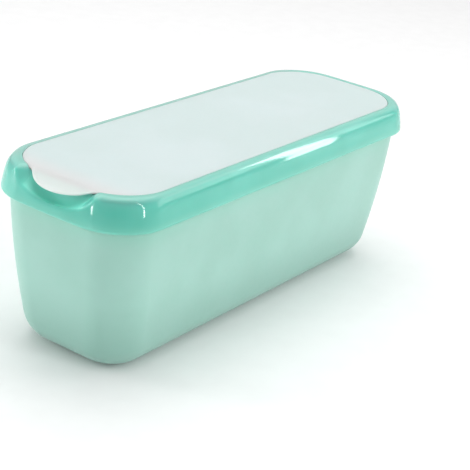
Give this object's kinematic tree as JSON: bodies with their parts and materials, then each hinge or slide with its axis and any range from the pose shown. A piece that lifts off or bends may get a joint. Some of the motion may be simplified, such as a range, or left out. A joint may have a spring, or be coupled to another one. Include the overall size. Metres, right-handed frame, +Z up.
{
  "type": "ice cream container",
  "caption": "Long shut tub with a press-on lid: tapered translucent body, glossy soft rim and a frosted lid panel with a finger tab over a scooped recess.",
  "frame": {"origin": "middle of the base, on the surface that the tub stands on", "axes": "+X along the length away from the finger tab, so the tab's end is at -X; +Y across the width; +Z up"},
  "size_m": [0.28, 0.095, 0.1],
  "materials": {
    "tub_plastic": "frosted translucent pale mint, satin outside",
    "rim_plastic": "soft glossy teal, moulded smooth",
    "panel_plastic": "frosted translucent white with a faint cool cast"
  },
  "bodies": {
    "root": {"tub": "tub_plastic", "lid_rim": "rim_plastic", "lid_panel": "panel_plastic"}
  },
  "joints": []
}
